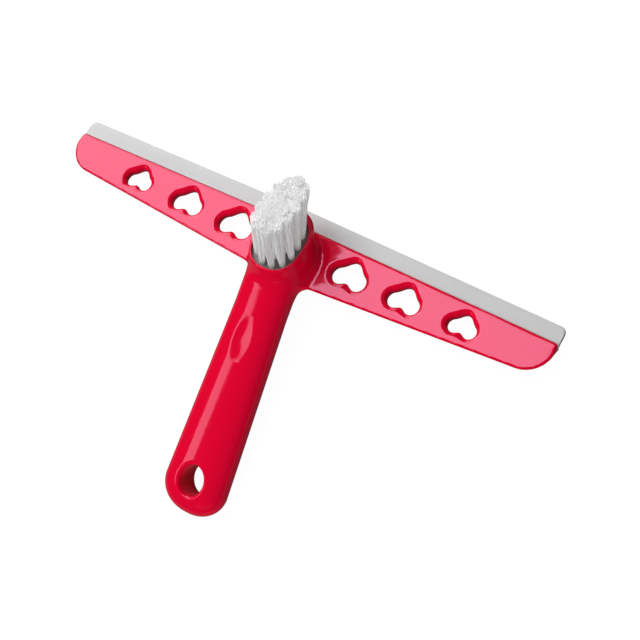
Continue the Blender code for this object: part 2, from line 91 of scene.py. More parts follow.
# Handle, hole and dimple
HANDLE_BEND = math.radians(21.9)
HANDLE_AXIS_Y = -40.0
HANDLE_AXIS_Z = -5.0
HANDLE_LENGTH = 96.1
HANDLE_WIDEST_AT = 83.0
HANDLE_WIDTH_NECK = 25.2
HANDLE_WIDTH_END = 31.6
HANDLE_THICKNESS = 14.8
HANDLE_END_THICKNESS = 15.2
HANDLE_POWER = 2.3
HANDLE_LOW_Y = -135.0
HANDLE_LOW_Z = -52.0
HUB_TOP = 9.6
HUB_TOP_BLEND = 3.0
HUB_END_Y = -12.0
HUB_END_BLEND = 6.0
HUB_BLEND = 5.0
HOLE_AT = 80.3
HOLE_HALF_WIDTH = 6.05
HOLE_HALF_LENGTH = 7.1
HOLE_POWER = 2.0
HOLE_LIP_BLEND = 2.0
DIMPLE_AT = 13.5
DIMPLE_X = -0.3
DIMPLE_HALF_LENGTH = 10.5
DIMPLE_RADIUS = 26.0
DIMPLE_DEPTH = 0.56
DIMPLE_FADE_POWER = 1.5
DIMPLE_CLEARANCE = 0.5
DIMPLE_RIM_BLEND = 0.35

# Cup
CUP_RIM_Y = -12.4
CUP_RIM_Z = 12.7
CUP_RIM_TILT = math.radians(1)
CUP_LEAN = math.radians(33)
CUP_WALL_LEAN = math.radians(31)
CUP_HALF_WIDTH = 11.3
CUP_HALF_LENGTH = 13.6
CUP_WALL = 1.2
CUP_FAR_WALL = 1.1
CUP_POWER = 2.4
CUP_BASE_BLEND = 2.2
CUP_BACK_BLEND = 1.0
CUP_LIP_BLEND = 0.9
POCKET_DEPTH = 9.0

# Skin of the moulding: the grid's step and the room that it leaves round the moulding, the
# blocks that it is first searched in, and how its points are evened out
SKIN_STEP = 0.5
SKIN_ROOM_X = 1.0
SKIN_TOP_Y = 4.0
SKIN_ROOM_Z = 2.0
SKIN_BLOCK = 4
SKIN_BLOCK_HALF_DIAGONAL = 0.87
SKIN_BLOCK_MARGIN = 1.2
SKIN_FAR = 9.0
SKIN_ROUNDS = 4
SKIN_LAST_ROUNDS = 3
SKIN_EVENING = 0.6
SKIN_LONGEST_MOVE = 0.6
SKIN_LEAST_SQUARED_SLOPE = 0.05
SLOPE_STEP = 0.02

# Brush block: sides of its oval, and its rings as place along the lean and inset from the
# pocket's wall, from its foot to the two ends of its rounded edge
BLOCK_RECESS = 2.0
BLOCK_SIDES = 96
BLOCK_RINGS = ((0.1 - POCKET_DEPTH, 1.8), (-BLOCK_RECESS - 0.4, 0.1), (-BLOCK_RECESS, 0.5))

# Bristles. A ring of tufts is their number and its half axes. Spreads are standard deviations.
TUFT_RINGS = ((13, 8.8, 11.0), (8, 4.3, 6.6))
TUFT_RING_POINTS = 721
TUFT_RADIUS = 1.45
TUFT_ROOT_RADIUS = 1.2
TUFT_FLARE = 2.2
TUFT_TRIM_RANGE = (-0.7, 0.5)
TUFT_SEED = 700
BRISTLE_LENGTH = 21.1
BRUSH_TRIM_TILT = math.radians(16)
FLARE_ACROSS = 0.68
FLARE_ALONG = 1.35
FILAMENTS_PER_TUFT = 280
FILAMENT_RADIUS = 0.165
FILAMENT_TIP_SHARE = 0.62
FILAMENT_ROOT_DEPTH = 0.5
FILAMENT_TIP_SPREAD = 0.22
FILAMENT_TRIM_SPREAD = 0.22
FILAMENT_BEND_SPREAD = 0.16
FILAMENT_SIDES = 4
FILAMENT_RINGS = 7
GOLDEN_ANGLE = math.pi * (3 - math.sqrt(5))

# Blade
BLADE_REACH = 7.5
BLADE_HALF_THICKNESS = 1.0
BLADE_TONGUE = 1.4
BLADE_TONGUE_HALF_THICKNESS = 0.98
BLADE_END_INSET = 0.3
BLADE_CORNER = 2.4
BLADE_CORNER_POINTS = 9
BLADE_PLAIN_POINTS = 70
BLADE_BEND_EASE = 2.0

# Half of the blade's section as place along Y and distance from the middle plane, from the
# wiping edge to the tongue: a thin bevelled edge, a plain face, a small bead and the tongue
BLADE_HALF_SECTION = np.array([
    (BLADE_REACH, 0.0),
    (BLADE_REACH, 0.40),
    (BLADE_REACH - 0.05, 0.52),
    (BLADE_REACH - 0.18, 0.60),
    (BLADE_REACH - 0.9, 0.78),
    (BLADE_REACH - 1.7, 0.96),
    (BLADE_REACH - 1.95, BLADE_HALF_THICKNESS),
    (BLADE_REACH - 2.3, BLADE_HALF_THICKNESS),
    (3.5, BLADE_HALF_THICKNESS),
    (1.2, BLADE_HALF_THICKNESS),
    (0.95, BLADE_HALF_THICKNESS),
    (0.75, 1.08),
    (0.55, 1.22),
    (0.3, 1.28),
    (0.12, 1.2),
    (0.06, BLADE_HALF_THICKNESS),
    (-0.3, BLADE_TONGUE_HALF_THICKNESS),
    (-BLADE_TONGUE, BLADE_TONGUE_HALF_THICKNESS),
    (-BLADE_TONGUE, 0.0),
])

# Studio: the floor's half width in metres and its tone, and how strongly the floor and the
# world shine as light and in reflections
FLOOR_HALF = 4.0
FLOOR_TONE = 0.09
FLOOR_GLOW = 0.95
FLOOR_GLOW_AS_LIGHT, FLOOR_GLOW_IN_GLOSS = 0.0, 0.06
WORLD_AS_LIGHT, WORLD_IN_GLOSS = 0.27, 0.02

# Camera, fitted to the bar's edges, the hearts and the handle: its lens in millimetres, its
# place in metres and its directions, all in the crossbar's frame
CAMERA_LENS = 88.7
CAMERA_SENSOR = 36.0
CAMERA_PLACE = (0.3156, -0.1467, 0.5841)
CAMERA_RIGHT = (0.8143, 0.4947, -0.3038)
CAMERA_DOWN = (0.3858, -0.8522, -0.3535)
CAMERA_FORWARD = (-0.4338, 0.1706, -0.8847)


def to_scene(points):
    """Points in millimetres of the crossbar's frame, as scene metres."""
    turn = np.array(TO_SCENE.to_3x3())
    return points * MM @ turn.T + np.array(TO_SCENE.translation)


def make_object(name, points, faces, material):
    """Points in the crossbar's frame and a list of faces become a shown, smooth piece."""
    mesh = bpy.data.meshes.new(name)
    mesh.from_pydata(to_scene(points).tolist(), [], faces)
    mesh.shade_smooth()
    mesh.materials.append(material)
    made = bpy.data.objects.new(name, mesh)
    bpy.context.scene.collection.objects.link(made)
    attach(made, "root")
    return made


def smooth_max(first, second, reach):
    """The larger of two distances, rounded where they differ by less than reach: the larger
    plus a parabola of the share of reach that is left."""
    left = np.maximum(reach - np.abs(first - second), 0) / reach
    return np.maximum(first, second) + left * left * reach / 4


def smooth_min(first, second, reach):
    """The smaller of two distances, rounded as the larger is."""
    return -smooth_max(-first, -second, reach)


def soft_step(share):
    """From 0 to 1 as the share goes from 0 to 1, level at both ends: 3 squares less 2 cubes."""
    share = np.clip(share, 0, 1)
    return share * share * (3 - 2 * share)


def fillet(corner, before, after, radius):
    """Points of the arc that rounds one corner of an outline."""
    if radius == 0:
        return [tuple(corner)]
    to_before = (before - corner).normalized()
    to_after = (after - corner).normalized()
    half = to_before.angle(to_after) / 2
    centre = corner + (to_before + to_after).normalized() * radius / math.sin(half)
    start = corner + to_before * radius / math.tan(half) - centre
    stop = corner + to_after * radius / math.tan(half) - centre
    turn = start.angle_signed(stop)
    steps = max(3, round(abs(turn) / ARC_STEP))
    turns = [Matrix.Rotation(-turn * k / steps, 2) for k in range(steps + 1)]
    return [tuple(centre + each @ start) for each in turns]


def bar_outline():
    """Outline of the bar from the front, clockwise from the middle of the blade's edge, with
    rounded corners: both wings droop evenly and narrow towards their tips."""
    half = BAR_LENGTH / 2
    drop = half * WING_SLOPE
    right = [
        (half, -drop, BAR_TOP_CORNER_RADIUS),
        (half, -drop - BAR_HEIGHT_TIP, BAR_CORNER_RADIUS),
    ]
    left = [(-x, y, radius) for x, y, radius in reversed(right)]
    corners = [(0, 0, 0)] + right + [(0, -BAR_HEIGHT_MIDDLE, 0)] + left
    points = []
    for i, (x, y, radius) in enumerate(corners):
        before = Vector(corners[i - 1][:2])
        after = Vector(corners[(i + 1) % len(corners)][:2])
        points += fillet(Vector((x, y)), before, after, radius)
    return np.array(points)


def outline_distance(x, y, outline):
    """Signed distance from points to a closed outline, negative inside: the least distance to
    any side, with the sign from how often a ray crosses the outline."""
    best = np.full(x.shape, np.inf)
    inside = np.zeros(x.shape, bool)
    for (ax, ay), (bx, by) in zip(outline, np.roll(outline, -1, axis=0)):
        ex, ey = bx - ax, by - ay
        size = ex * ex + ey * ey
        if size < SHORTEST_SIDE**2:
            continue
        share = np.clip(((x - ax) * ex + (y - ay) * ey) / size, 0, 1)
        best = np.minimum(best, (x - ax - share * ex) ** 2 + (y - ay - share * ey) ** 2)
        if ey != 0:
            crosses = ((ay > y) != (by > y)) & (x < ax + (y - ay) * ex / ey)
            inside ^= crosses
    return np.where(inside, -1, 1) * np.sqrt(best)


def oval_distance(places, halves, power):
    """First-order distance to a superellipse or superellipsoid: its scaled radius less one,
    over the slope of that radius."""
    shares = [np.abs(place) / half for place, half in zip(places, halves)]
    total = np.maximum(sum(share**power for share in shares), LEAST_TOTAL)
    slope = np.sqrt(sum((share ** (power - 1) / half) ** 2 for share, half in zip(shares, halves)))
    slope *= total ** (1 / power - 1)
    return (total ** (1 / power) - 1) / np.maximum(slope, LEAST_SLOPE)


def drop_distance(x, y, start, stop, start_radius, stop_radius):
    """Distance to the hull of two circles: to either circle past its end, and between them to
    the straight side, which leans by the sine of the radii's difference over the length."""
    ux, uy = stop[0] - start[0], stop[1] - start[1]
    length = math.hypot(ux, uy)
    ux, uy = ux / length, uy / length
    along = (x - start[0]) * ux + (y - start[1]) * uy
    across = np.abs((x - start[0]) * uy - (y - start[1]) * ux)
    sine = (start_radius - stop_radius) / length
    cosine = math.sqrt(1 - sine * sine)
    turned = along * cosine - across * sine
    side = across * cosine + along * sine - start_radius
    first = np.hypot(across, along) - start_radius
    last = np.hypot(across, along - length) - stop_radius
    return np.where(turned < 0, first, np.where(turned > length * cosine, last, side))


BAR_OUTLINE = bar_outline()


def bar_distance(x, y, z):
    """A rounded slab: the outline's distance and the thickness's, joined by a quarter circle.
    Both faces are crowned a little towards the middle of the bar's height. Away from the blade
    the outline is a little larger at the front face, and draws in evenly towards the back."""
    edge = outline_distance(x, y, BAR_OUTLINE)
    inner = np.clip(-edge / BAR_CROWN_REACH, 0, 1)
    half = BAR_THICKNESS / 2 - BAR_CROWN * (1 - inner) ** 2
    below = soft_step(-(y + np.abs(x) * WING_SLOPE) / BAR_TAPER_REACH)
    edge = edge - (BAR_BACK_TAPER * z + BAR_FRONT_GROWTH) * below
    aside = edge + BAR_EDGE_RADIUS
    above = np.abs(z + BAR_THICKNESS / 2) - half + BAR_EDGE_RADIUS
    outer = np.hypot(np.maximum(aside, 0), np.maximum(above, 0))
    return outer + np.minimum(np.maximum(aside, above), 0) - BAR_EDGE_RADIUS


def heart_distance(x, y):
    """Least distance to the six hearts, which mirror each other across the middle. A heart is
    two drops from one tip to its two lobes, with a soft notch where they meet."""
    side = np.abs(x)
    found = np.full(x.shape, HEART_FAR)
    for offset, width in zip(HEART_OFFSETS, HEART_WIDTHS):
        height = width * HEART_HEIGHT_SHARE
        middle = -offset * WING_SLOPE - HEART_INSET - height / 2
        near = (np.abs(side - offset) < width) & (np.abs(y - middle) < width)
        across = side[near] - offset
        up = y[near] - middle + across * WING_SLOPE
        lobe, tip = width * HEART_LOBE_SHARE, width * HEART_TIP_SHARE
        tip_place = (0, height / 2 - tip)
        lobe_places = [(turn * (width / 2 - lobe), lobe - height / 2) for turn in (-1, 1)]
        drops = [drop_distance(across, up, tip_place, place, tip, lobe) for place in lobe_places]
        heart = smooth_min(*drops, width * HEART_NOTCH_SHARE)
        found[near] = np.minimum(found[near], heart)
    return found


def handle_places(y, z):
    """Distance along the handle's axis from the neck, and out of its middle plane."""
    dy, dz = y - HANDLE_AXIS_Y, z - HANDLE_AXIS_Z
    along = -dy * math.cos(HANDLE_BEND) - dz * math.sin(HANDLE_BEND)
    out = -dy * math.sin(HANDLE_BEND) + dz * math.cos(HANDLE_BEND)
    return along, out


def handle_distance(x, along, out):
    """A bar of superellipse sections that widen along the axis, closed by a round end: the
    powers of the scaled places across, out and past the widest point add up to one."""
    share = np.clip(along / HANDLE_WIDEST_AT, 0, 1)
    half_width = (HANDLE_WIDTH_NECK + (HANDLE_WIDTH_END - HANDLE_WIDTH_NECK) * share) / 2
    half_thick = (HANDLE_THICKNESS + (HANDLE_END_THICKNESS - HANDLE_THICKNESS) * share) / 2
    run = HANDLE_LENGTH - HANDLE_WIDEST_AT
    wide = np.abs(x) / half_width
    thick = np.abs(out) / half_thick
    past = np.maximum(along - HANDLE_WIDEST_AT, 0) / run
    power = HANDLE_POWER
    total = np.maximum(wide**power + thick**power + past * past, LEAST_TOTAL)
    slope_x = power * wide ** (power - 1) / half_width
    slope_out = power * thick ** (power - 1) / half_thick
    slope = np.sqrt(slope_x**2 + slope_out**2 + (2 * past / run) ** 2)
    slope *= total ** (1 / power - 1) / power
    return (total ** (1 / power) - 1) / np.maximum(slope, LEAST_SLOPE)


def cup_places(y, z, lean):
    """Place in the cup's rim plane along its length, and distance along the lean out of it: the
    two lengths that add up to the place, taken along the rim plane and along the lean."""
    tilt_cos, tilt_sin = math.cos(CUP_RIM_TILT), math.sin(CUP_RIM_TILT)
    lean_cos, lean_sin = math.cos(lean), math.sin(lean)
    span = tilt_cos * lean_cos + tilt_sin * lean_sin
    dy, dz = y - CUP_RIM_Y, z - CUP_RIM_Z
    length = (dy * lean_cos - dz * lean_sin) / span
    out = (dy * tilt_sin + dz * tilt_cos) / span
    return length, out


def body_distance(points):
    """Distance to the whole moulding: bar, handle and cup are joined with soft fillets, and the
    hearts, groove, pocket, hole and dimple are taken away with soft rims."""
    x, y, z = points.T
    along, out = handle_places(y, z)
    bar = smooth_max(bar_distance(x, y, z), -heart_distance(x, y), HEART_RIM_BLEND)
    handle = handle_distance(x, along, out)
    handle = smooth_max(handle, z - HUB_TOP, HUB_TOP_BLEND)
    handle = smooth_max(handle, y - HUB_END_Y, HUB_END_BLEND)

    # The cup's outer wall leans a little less than its pocket and is thicker towards the blade
    length, lift = cup_places(y, z, CUP_WALL_LEAN)
    thick = CUP_WALL + CUP_FAR_WALL * soft_step(length / CUP_HALF_LENGTH + 0.5)
    wall = oval_distance((x, length), (CUP_HALF_WIDTH + thick, CUP_HALF_LENGTH + thick), CUP_POWER)
    cup = smooth_max(wall, lift * math.cos(CUP_WALL_LEAN - CUP_RIM_TILT), CUP_LIP_BLEND)
    cup = smooth_max(cup, -z - BAR_THICKNESS / 2, CUP_BACK_BLEND)
    body = smooth_min(bar, smooth_min(handle, cup, CUP_BASE_BLEND), HUB_BLEND)

    # Pocket, groove and hanging hole
    length, lift = cup_places(y, z, CUP_LEAN)
    pocket = oval_distance((x, length), (CUP_HALF_WIDTH, CUP_HALF_LENGTH), CUP_POWER)
    pocket = np.maximum(pocket, -(lift + POCKET_DEPTH))
    body = smooth_max(body, -pocket, CUP_LIP_BLEND)
    drop = y + np.abs(x) * WING_SLOPE
    groove = np.maximum(np.abs(z + BAR_THICKNESS / 2) - GROOVE_HALF_WIDTH, -(drop + GROOVE_DEPTH))
    body = smooth_max(body, -groove, GROOVE_RIM_BLEND)
    hole = oval_distance((x, along - HOLE_AT), (HOLE_HALF_WIDTH, HOLE_HALF_LENGTH), HOLE_POWER)
    body = smooth_max(body, -hole, HOLE_LIP_BLEND)

    # The dimple is a cylinder along the handle that dips into its top and fades out at both ends
    fade = np.clip(1 - ((along - DIMPLE_AT) / DIMPLE_HALF_LENGTH) ** 2, 0, 1) ** DIMPLE_FADE_POWER
    lift = out - HANDLE_THICKNESS / 2 - DIMPLE_RADIUS
    dip = np.hypot(x - DIMPLE_X, lift) - DIMPLE_RADIUS - DIMPLE_DEPTH * fade
    dip = np.where(fade > 0, dip, np.maximum(dip, DIMPLE_CLEARANCE))
    return smooth_max(body, -dip, DIMPLE_RIM_BLEND)


def slopes(points):
    """Gradient of the moulding's distance, from its differences over a short step both ways."""
    found = np.empty_like(points)
    for axis in range(3):
        shift = np.zeros(3)
        shift[axis] = SLOPE_STEP
        rise = body_distance(points + shift) - body_distance(points - shift)
        found[:, axis] = rise / (2 * SLOPE_STEP)
    return found


def settle(points):
    """Moves points onto the moulding's surface along the gradient: by the distance over the
    gradient's square, but no further than the longest move."""
    slope = slopes(points)
    size = np.maximum((slope**2).sum(axis=1), SKIN_LEAST_SQUARED_SLOPE)
    move = -(body_distance(points) / size)[:, None] * slope
    length = np.linalg.norm(move, axis=1, keepdims=True)
    return points + move * np.minimum(1, SKIN_LONGEST_MOVE / np.maximum(length, LEAST_SLOPE))


def field_on_grid(low, counts, step):
    """The moulding's distance at the points of a grid. It is worked out only in blocks whose
    middle lies near the surface, and is the far value elsewhere."""
    middles = []
    for first, count in zip(low, counts):
        blocks = -(-count // SKIN_BLOCK)
        middles.append(first + (np.arange(blocks) + 0.5) * SKIN_BLOCK * step - step / 2)
    grid = np.stack(np.meshgrid(*middles, indexing="ij"), axis=-1)
    reach = SKIN_BLOCK * step * SKIN_BLOCK_HALF_DIAGONAL + SKIN_BLOCK_MARGIN
    near = np.abs(body_distance(grid.reshape(-1, 3))) < reach
    near = near.reshape(grid.shape[:3])
    for axis in range(3):
        near = near.repeat(SKIN_BLOCK, axis=axis)
    near = near[:counts[0], :counts[1], :counts[2]]
    places = np.argwhere(near)
    field = np.full(counts, SKIN_FAR)
    field[near] = body_distance(low + places * step)
    return field, near


def surface_net(field, known):
    """Surface nets: each grid cell that the surface passes gets one point, the mean of where its
    edges cross zero, and each grid edge that crosses zero gets a quad of its four cells."""
    corners = [(i, j, k) for i in (0, 1) for j in (0, 1) for k in (0, 1)]
    size = [count - 1 for count in field.shape]

    def at(values, corner):
        """The values at one corner of every cell."""
        return values[tuple(slice(c, c + n) for c, n in zip(corner, size))]

    inside = field < 0
    filled = sum(at(inside, corner).astype(np.int8) for corner in corners)
    passed = (filled > 0) & (filled < 8)
    for corner in corners:
        passed &= at(known, corner)
    cells = np.argwhere(passed)
    number = np.full(size, -1)
    number[passed] = np.arange(len(cells))
    total = np.zeros((len(cells), 3))
    crossings = np.zeros((len(cells), 1))
    for corner in corners:
        for axis in range(3):
            if corner[axis]:
                continue
            other = tuple(c + (a == axis) for a, c in enumerate(corner))
            first = at(field, corner)[passed]
            second = at(field, other)[passed]
            crossed = (first < 0) != (second < 0)
            share = first[crossed] / (first[crossed] - second[crossed])
            place = np.repeat([corner], crossed.sum(), axis=0).astype(float)
            place[:, axis] += share
            total[crossed] += place
            crossings[crossed] += 1
    points = cells + total / crossings
    quads = []
    for axis in range(3):
        u, v = (axis + 1) % 3, (axis + 2) % 3
        core = [slice(1, n) for n in size]
        core[axis] = slice(0, size[axis])
        ahead = list(core)
        ahead[axis] = slice(1, size[axis] + 1)
        lower, upper = inside[tuple(core)], inside[tuple(ahead)]
        edges = np.argwhere(lower != upper)
        leaving = lower[tuple(edges.T)]
        shift = np.ones(3, int)
        shift[axis] = 0
        edges = edges + shift
        ring = []
        for du, dv in ((-1, -1), (0, -1), (0, 0), (-1, 0)):
            cell = edges.copy()
            cell[:, u] += du
            cell[:, v] += dv
            ring.append(number[tuple(cell.T)])
        ring = np.stack(ring, axis=1)
        ring[~leaving] = ring[~leaving][:, ::-1]
        quads.append(ring[(ring >= 0).all(axis=1)])
    return points, np.concatenate(quads)


def build_moulding(material):
    """A fine, even skin on the moulding's distance surface: a net of it is drawn towards the
    mean of each point's neighbours and settled back on the surface, a few times over."""
    low = np.array([-BAR_LENGTH / 2 - SKIN_ROOM_X, HANDLE_LOW_Y, HANDLE_LOW_Z])
    high = np.array([BAR_LENGTH / 2 + SKIN_ROOM_X, SKIN_TOP_Y, CUP_RIM_Z + SKIN_ROOM_Z])
    counts = np.ceil((high - low) / SKIN_STEP).astype(int) + 1
    points, quads = surface_net(*field_on_grid(low, counts, SKIN_STEP))
    points = low + points * SKIN_STEP
    count = len(points)
    first, second = np.concatenate([quads[:, [k, (k + 1) % 4]] for k in range(4)]).T
    neighbours = np.maximum(np.bincount(first, minlength=count), 1)[:, None]
    for _ in range(SKIN_ROUNDS):
        points = settle(points)
        sums = [np.bincount(first, points[second, axis], count) for axis in range(3)]
        mean = np.stack(sums, axis=1) / neighbours
        points = points * (1 - SKIN_EVENING) + mean * SKIN_EVENING
    for _ in range(SKIN_LAST_ROUNDS):
        points = settle(points)
    normals = slopes(points)
    normals /= np.linalg.norm(normals, axis=1, keepdims=True)
    made = make_object("moulding", points, quads.tolist(), material)
    turned = normals @ np.array(TO_SCENE.to_3x3()).T
    made.data.normals_split_custom_set_from_vertices(turned.tolist())
    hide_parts("handle_and_crossbar")


def tube_faces(rings, sides):
    """Quads between the rings of a tube whose points are numbered ring by ring."""
    ring, side = np.meshgrid(np.arange(rings - 1), np.arange(sides), indexing="ij")
    here = ring * sides + side
    after = ring * sides + (side + 1) % sides
    quads = np.stack([here, after, after + sides, here + sides], axis=-1)
    return quads.reshape(-1, 4).tolist()


def end_faces(rings, sides):
    """The two faces that close such a tube, the same way round as its quads."""
    last = (rings - 1) * sides
    return [list(range(sides))[::-1], list(range(last, last + sides))]


def point_outwards(mesh):
    """Turns the faces of a closed mesh outwards."""
    form = bmesh.new()
    form.from_mesh(mesh)
    bmesh.ops.recalc_face_normals(form, faces=form.faces)
    form.to_mesh(mesh)
    form.free()


def build_blade(material):
    """The blade's section carried along both wings. The bend at the middle is a hyperbola that
    runs into the two straight wings, and the reach is cut to a quarter circle at both ends."""
    ring = np.concatenate([BLADE_HALF_SECTION, BLADE_HALF_SECTION[-2:0:-1] * (1, -1)])
    end = BAR_LENGTH / 2 - BLADE_END_INSET
    turn = np.linspace(0, math.pi / 2, BLADE_CORNER_POINTS)
    plain = np.linspace(0, end - BLADE_CORNER, BLADE_PLAIN_POINTS)
    half_x = np.concatenate([plain, (end - BLADE_CORNER + BLADE_CORNER * np.sin(turn))[1:]])
    x = np.concatenate([-half_x[:0:-1], half_x])
    drop = (np.sqrt(x * x + BLADE_BEND_EASE**2) - BLADE_BEND_EASE) * WING_SLOPE
    past = np.maximum(np.abs(x) - end + BLADE_CORNER, 0)
    lost = BLADE_CORNER - np.sqrt(np.maximum(BLADE_CORNER**2 - past**2, 0))
    reach = 1 - lost / BLADE_REACH
    out = ring[None, :, 0]
    grid = np.empty((len(x), len(ring), 3))
    grid[:, :, 0] = x[:, None]
    grid[:, :, 1] = np.where(out > 0, out * reach[:, None], out) - drop[:, None]
    grid[:, :, 2] = ring[None, :, 1] - BAR_THICKNESS / 2
    faces = tube_faces(len(x), len(ring)) + end_faces(len(x), len(ring))
    made = make_object("blade_rubber", grid.reshape(-1, 3), faces, material)
    point_outwards(made.data)
    made.data.set_sharp_from_angle(angle=SHARP_ANGLE)
    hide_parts("wiper_blade")


def unit_oval(angle):
    """Points of the cup's oval with half axes of one: the sine and cosine of the angle, each to
    the power two over the oval's, with its sign kept."""
    sine, cosine = np.sin(angle), np.cos(angle)
    x = np.sign(sine) * np.abs(sine) ** (2 / CUP_POWER)
    y = np.sign(cosine) * np.abs(cosine) ** (2 / CUP_POWER)
    return x, y


def cup_points(x, length, along):
    """Points by place in the cup's rim plane and distance along its lean."""
    y = CUP_RIM_Y + length * math.cos(CUP_RIM_TILT) + along * math.sin(CUP_LEAN)
    z = CUP_RIM_Z - length * math.sin(CUP_RIM_TILT) + along * math.cos(CUP_LEAN)
    return np.stack([x, y, z], axis=-1)


def build_block(material):
    """The brush block: an oval plug that fills the cup's pocket up to the bristles' roots."""
    x, y = unit_oval(np.arange(BLOCK_SIDES) * 2 * math.pi / BLOCK_SIDES)
    rings = []
    for along, inset in BLOCK_RINGS:
        across, length = x * (CUP_HALF_WIDTH - inset), y * (CUP_HALF_LENGTH - inset)
        rings.append(cup_points(across, length, np.full(x.shape, along)))
    faces = tube_faces(len(rings), BLOCK_SIDES) + end_faces(len(rings), BLOCK_SIDES)
    made = make_object("brush_insert", np.concatenate(rings), faces, material)
    point_outwards(made.data)
    made.data.set_sharp_from_angle(angle=SHARP_ANGLE)
    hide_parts("brush_block")


def tuft_places():
    """Places of the tufts in the rim plane: evenly along two oval rings, each from the handle's
    side on, and the middle."""
    places = []
    unit_x, unit_y = unit_oval(np.linspace(0, 2 * math.pi, TUFT_RING_POINTS))
    for count, half_x, half_y in TUFT_RINGS:
        x, y = half_x * unit_x, -half_y * unit_y
        passed = np.concatenate([[0], np.cumsum(np.hypot(np.diff(x), np.diff(y)))])
        stops = passed[-1] * (np.arange(count) + 0.5) / count
        places += list(zip(np.interp(stops, passed, x), np.interp(stops, passed, y)))
    return places + [(0.0, 0.0)]


def trim_height(y):
    """Distance along the lean at which the bristles end, on the tilted trim plane: their length
    less the plane's rise over a place y in the rim plane, measured along the lean."""
    plane = np.array([math.sin(BRUSH_TRIM_TILT), math.cos(BRUSH_TRIM_TILT)])
    lean = np.array([math.sin(CUP_LEAN), math.cos(CUP_LEAN)])
    in_rim = np.array([math.cos(CUP_RIM_TILT), -math.sin(CUP_RIM_TILT)])
    return BRISTLE_LENGTH - BLOCK_RECESS - y * (plane @ in_rim) / (plane @ lean)


def build_tuft(number, place, material):
    """One tuft's filaments: slim tubes that start close together in the block's hole and spread
    evenly to their tips, each bowed by half a sine wave. A sunflower spiral spaces them, and
    seeded draws shift their tips, trim them unevenly and bend them a little."""
    draw = np.random.default_rng(TUFT_SEED + number)
    order = np.arange(FILAMENTS_PER_TUFT)
    reach = np.sqrt((order + 0.5) / FILAMENTS_PER_TUFT)
    turn = order * GOLDEN_ANGLE + number
    spiral_x, spiral_y = reach * np.cos(turn), reach * np.sin(turn)
    root_x = place[0] + spiral_x * TUFT_ROOT_RADIUS
    root_y = place[1] + spiral_y * TUFT_ROOT_RADIUS
    tip_x = place[0] * FLARE_ACROSS + spiral_x * TUFT_RADIUS * TUFT_FLARE
    tip_y = place[1] * FLARE_ALONG + spiral_y * TUFT_RADIUS * TUFT_FLARE
    tip_x += draw.normal(0, FILAMENT_TIP_SPREAD, FILAMENTS_PER_TUFT)
    tip_y += draw.normal(0, FILAMENT_TIP_SPREAD, FILAMENTS_PER_TUFT)
    top = trim_height(tip_y) + draw.uniform(*TUFT_TRIM_RANGE)
    top -= np.abs(draw.normal(0, FILAMENT_TRIM_SPREAD, FILAMENTS_PER_TUFT))
    bend_x, bend_y = draw.normal(0, FILAMENT_BEND_SPREAD, (2, FILAMENTS_PER_TUFT))
    tone = draw.uniform(0, 1, FILAMENTS_PER_TUFT)

    # Rings of points up each filament
    share = np.linspace(0, 1, FILAMENT_RINGS)[:, None]
    bow = np.sin(share * math.pi)
    x = root_x + (tip_x - root_x) * share + bend_x * bow
    y = root_y + (tip_y - root_y) * share + bend_y * bow
    foot = -BLOCK_RECESS - FILAMENT_ROOT_DEPTH
    along = foot + (top - foot) * share
    radius = FILAMENT_RADIUS * np.where(share == 1, FILAMENT_TIP_SHARE, 1.0)
    side = np.arange(FILAMENT_SIDES) * 2 * math.pi / FILAMENT_SIDES
    ring_x = x[..., None] + radius[..., None] * np.cos(side)
    ring_y = y[..., None] + radius[..., None] * np.sin(side)
    points = cup_points(ring_x, ring_y, np.broadcast_to(along[..., None], ring_x.shape))
    points = np.swapaxes(points, 0, 1).reshape(-1, 3)

    # Faces of one filament, repeated for all
    size = FILAMENT_RINGS * FILAMENT_SIDES
    starts = (order * size)[:, None, None]
    tube = np.array(tube_faces(FILAMENT_RINGS, FILAMENT_SIDES))
    caps = np.array(end_faces(FILAMENT_RINGS, FILAMENT_SIDES))
    faces = (tube + starts).reshape(-1, 4).tolist()
    faces += (caps + starts).reshape(-1, FILAMENT_SIDES).tolist()
    made = make_object(f"filaments_{number:02d}", points, faces, material)

    strand = np.repeat(tone, size)
    height = np.tile(np.repeat(share, FILAMENT_SIDES), FILAMENTS_PER_TUFT)
    for title, values in (("strand", strand), ("height", height)):
        layer = made.data.attributes.new(title, "FLOAT", "POINT")
        layer.data.foreach_set("value", values.astype(np.float32))
    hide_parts(f"bristle_tuft_{number:02d}")


def new_material(name):
    """A new material, with its nodes, its links and its main shader."""
    made = bpy.data.materials.new(name)
    made.use_nodes = True
    nodes, links = made.node_tree.nodes, made.node_tree.links
    return made, nodes, links, nodes["Principled BSDF"]


def add(nodes, kind, **settings):
    """Adds a node of a kind and gives it its settings."""
    made = nodes.new(kind)
    for key, value in settings.items():
        setattr(made, key, value)
    return made


def set_inputs(node, values):
    """Sets a node's inputs by name or number."""
    for key, value in values.items():
        node.inputs[key].default_value = value


